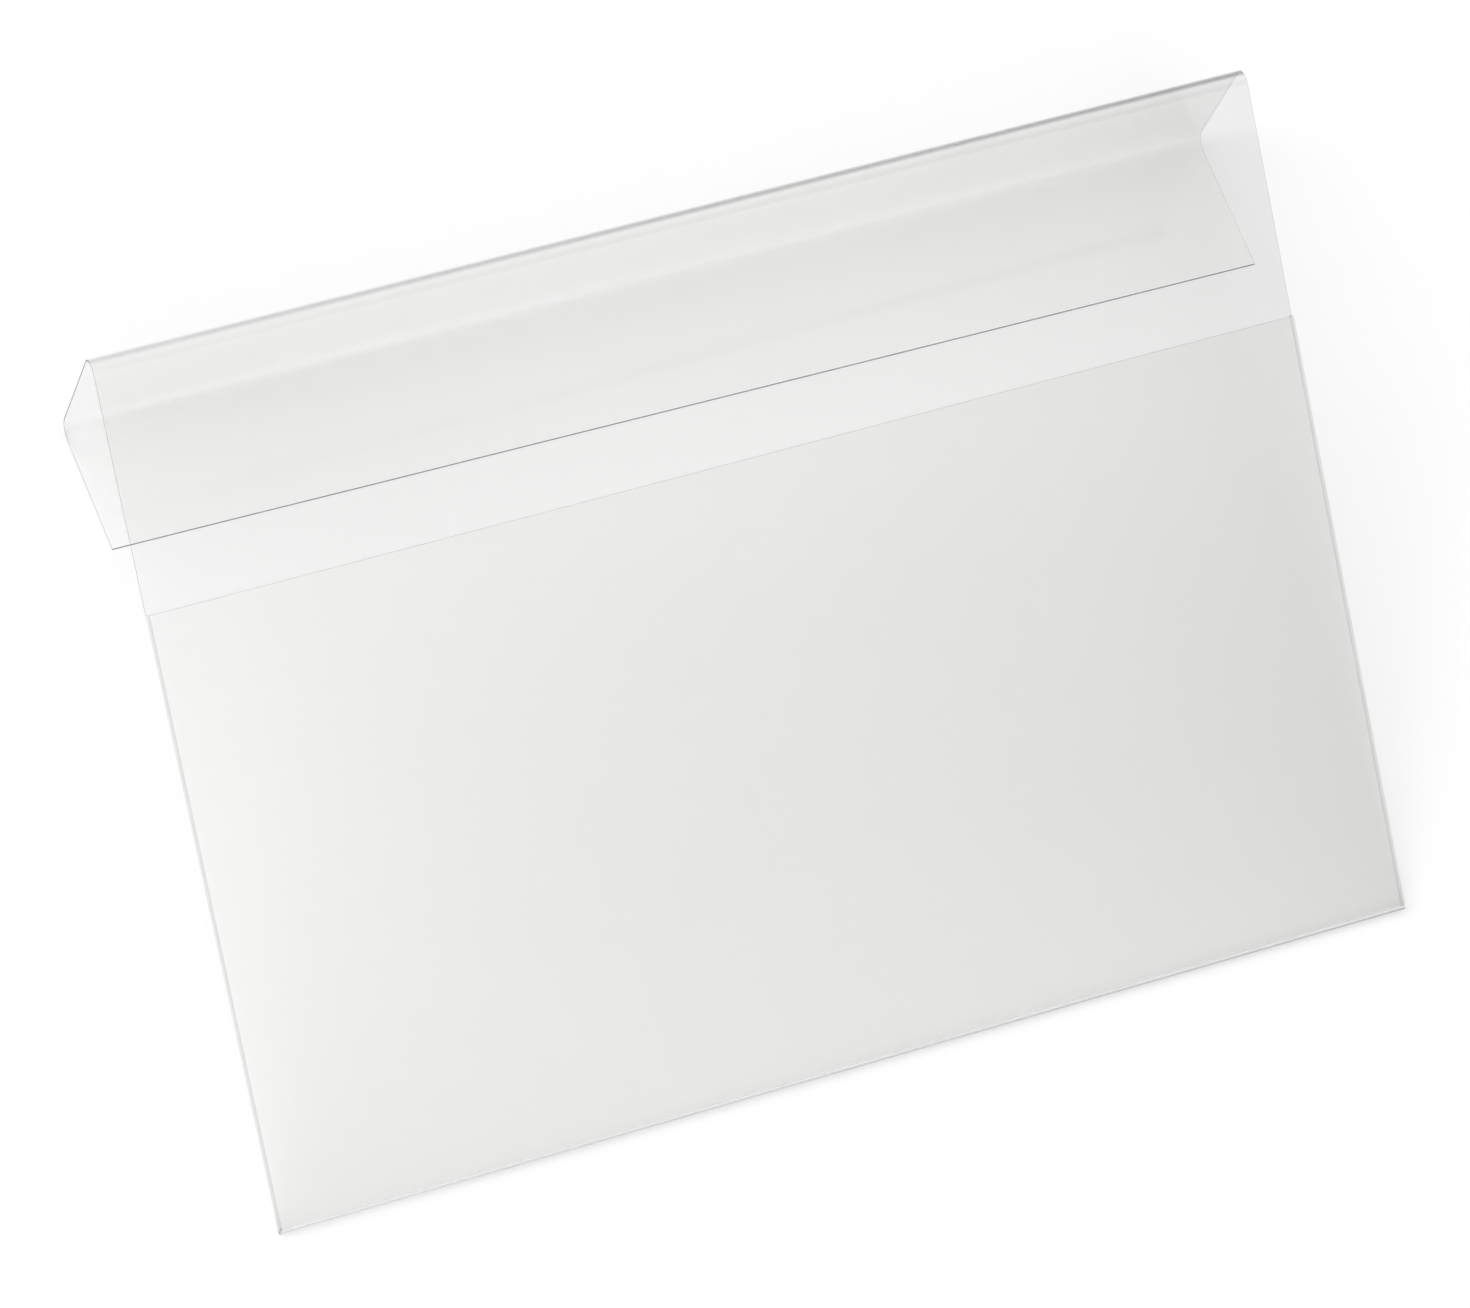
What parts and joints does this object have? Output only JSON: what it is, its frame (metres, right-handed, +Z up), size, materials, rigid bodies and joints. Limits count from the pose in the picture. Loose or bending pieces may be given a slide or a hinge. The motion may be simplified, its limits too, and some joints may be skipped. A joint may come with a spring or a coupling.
{
  "type": "document sleeve",
  "caption": "Stiff clear film sleeve: a flat pocket welded down both sides and open at the top, below a springy creased flap that folds over to the back and hooks on a wall.",
  "frame": {"origin": "on the table under the middle of the sleeve, as it lies on its back", "axes": "+X to the sleeve's right seen from its front, +Y up the sleeve towards the top fold, +Z up off the table, out of the front"},
  "size_m": [0.311, 0.2176, 0.0393],
  "materials": {
    "clear_film": "gloss, clear with a faint grey tint",
    "folded_film": "gloss, stretched clear film along a fold",
    "weld_bead": "gloss, melted clear film"
  },
  "bodies": {
    "sleeve": {"back_sheet": "clear_film", "front_sheet": "clear_film", "bottom_fold": "folded_film", "left_side_weld": "weld_bead", "right_side_weld": "weld_bead", "header": "clear_film", "top_fold": "folded_film"},
    "upper_flap": {"upper_flap": "clear_film", "flap_crease": "folded_film"},
    "lower_flap": {"lower_flap": "clear_film"}
  },
  "joints": [
    {"name": "top_fold_bend", "type": "hinge", "parent": "sleeve", "child": "upper_flap", "pos_m": [0, 0.10563, 0.03609], "axis": [1, 0, 0], "range_deg": [-12, 119], "stiffness_Nm_per_rad": 0.4, "deforming": ["top_fold"]},
    {"name": "flap_crease_bend", "type": "hinge", "parent": "upper_flap", "child": "lower_flap", "pos_m": [0, 0.0938, 0.0042], "axis": [1, 0, 0], "range_deg": [-8, 96], "stiffness_Nm_per_rad": 0.4, "deforming": ["flap_crease"]}
  ]
}
